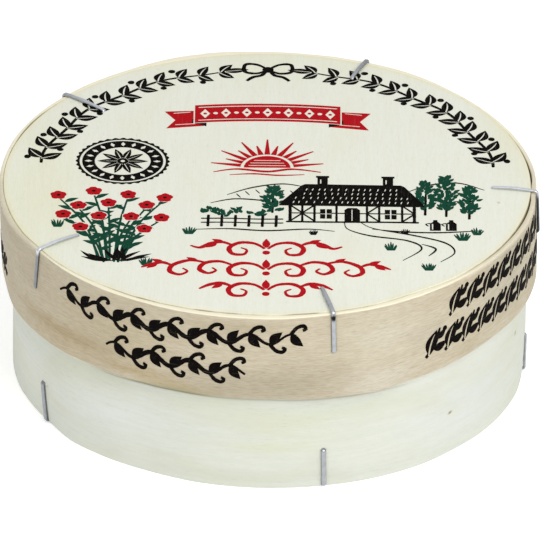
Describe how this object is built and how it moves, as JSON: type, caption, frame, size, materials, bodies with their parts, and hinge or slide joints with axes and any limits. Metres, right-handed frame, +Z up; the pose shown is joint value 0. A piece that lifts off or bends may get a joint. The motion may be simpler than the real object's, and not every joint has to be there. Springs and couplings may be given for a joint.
{
  "type": "camembert in a shut wooden box",
  "caption": "Shut round wooden cheese box: a deep lid hoop with an inset disc over a pale drum, the discs held by bent wire staples.",
  "frame": {"origin": "on the ground, under the drum's axis, at the middle of the bottom", "axes": "+Z up through the lid, -Y towards the front of the printed lid, +X to its right"},
  "size_m": [0.1162, 0.116, 0.0439],
  "materials": {
    "disc_wood": "bare peeled veneer, pale cream, matte",
    "hoop_wood": "bare peeled veneer, light tan, matte",
    "base_wood": "bare peeled veneer, greenish white, matte",
    "wire": "zinc-coated wire, dull silver",
    "black_ink": "printing ink soaked into the wood, matte black",
    "red_ink": "printing ink soaked into the wood, matte red",
    "green_ink": "printing ink soaked into the wood, matte dark green"
  },
  "bodies": {
    "root": {"lid_disc": "disc_wood", "lid_hoop": "hoop_wood", "base_drum": "base_wood", "base_disc": "disc_wood", "lid_staple_1": "wire", "lid_staple_2": "wire", "lid_staple_3": "wire", "lid_staple_4": "wire", "lid_staple_5": "wire", "base_staple_1": "wire", "base_staple_2": "wire", "base_staple_3": "wire", "base_staple_4": "wire", "base_staple_5": "wire"}
  },
  "joints": []
}
